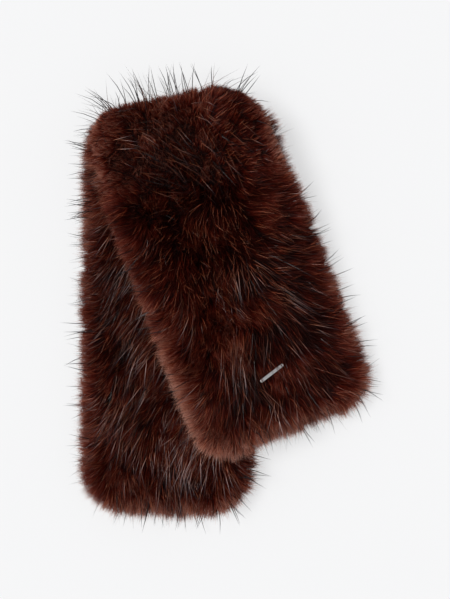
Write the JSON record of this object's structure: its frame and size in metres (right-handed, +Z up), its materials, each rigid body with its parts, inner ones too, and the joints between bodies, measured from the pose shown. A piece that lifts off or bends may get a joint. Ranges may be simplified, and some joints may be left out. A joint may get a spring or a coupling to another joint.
{
  "type": "folded fur scarf",
  "caption": "Straight long-pile fur scarf, furred on both faces, folded in half askew and lying flat, with a slim plain metal bar sewn on near its upper end.",
  "frame": {"origin": "on the table, under the middle of the folded scarf's bounding box", "axes": "+Z up from the table, +Y towards the fold, +X to the right seen from above"},
  "size_m": [0.3094, 0.4558, 0.0695],
  "materials": {
    "outer_fur": "long-pile modacrylic fur, very dark red-brown, with orange-brown guard hairs tipped near black",
    "inner_fur": "long-pile modacrylic fur, dark red-brown, with denser near-black guard hair tips",
    "bar_metal": "polished, nickel-plated, with softened edges"
  },
  "bodies": {
    "root": {"outer_panel": "outer_fur", "inner_panel": "inner_fur", "metal_bar": "bar_metal"}
  },
  "joints": []
}
